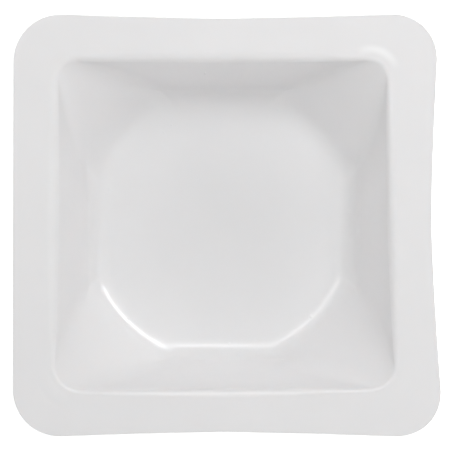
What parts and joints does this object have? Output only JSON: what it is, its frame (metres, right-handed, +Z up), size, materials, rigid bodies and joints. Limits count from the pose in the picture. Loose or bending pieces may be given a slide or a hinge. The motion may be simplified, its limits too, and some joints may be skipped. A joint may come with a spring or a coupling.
{
  "type": "weighing boat",
  "caption": "Square one-piece plastic weighing dish with a round-cornered flat floor, four sloping walls and a wide flat flange with rounded, slightly bowed edges.",
  "frame": {"origin": "centre of the flat floor's underside, on the bench", "axes": "+Z up, square to the floor; +X towards the right edge, the one that bows in most; +Y towards the back edge"},
  "size_m": [0.0898, 0.0887, 0.0251],
  "materials": {
    "white_polystyrene": "semi-gloss"
  },
  "bodies": {
    "root": {"weighing_boat": "white_polystyrene"}
  },
  "joints": []
}
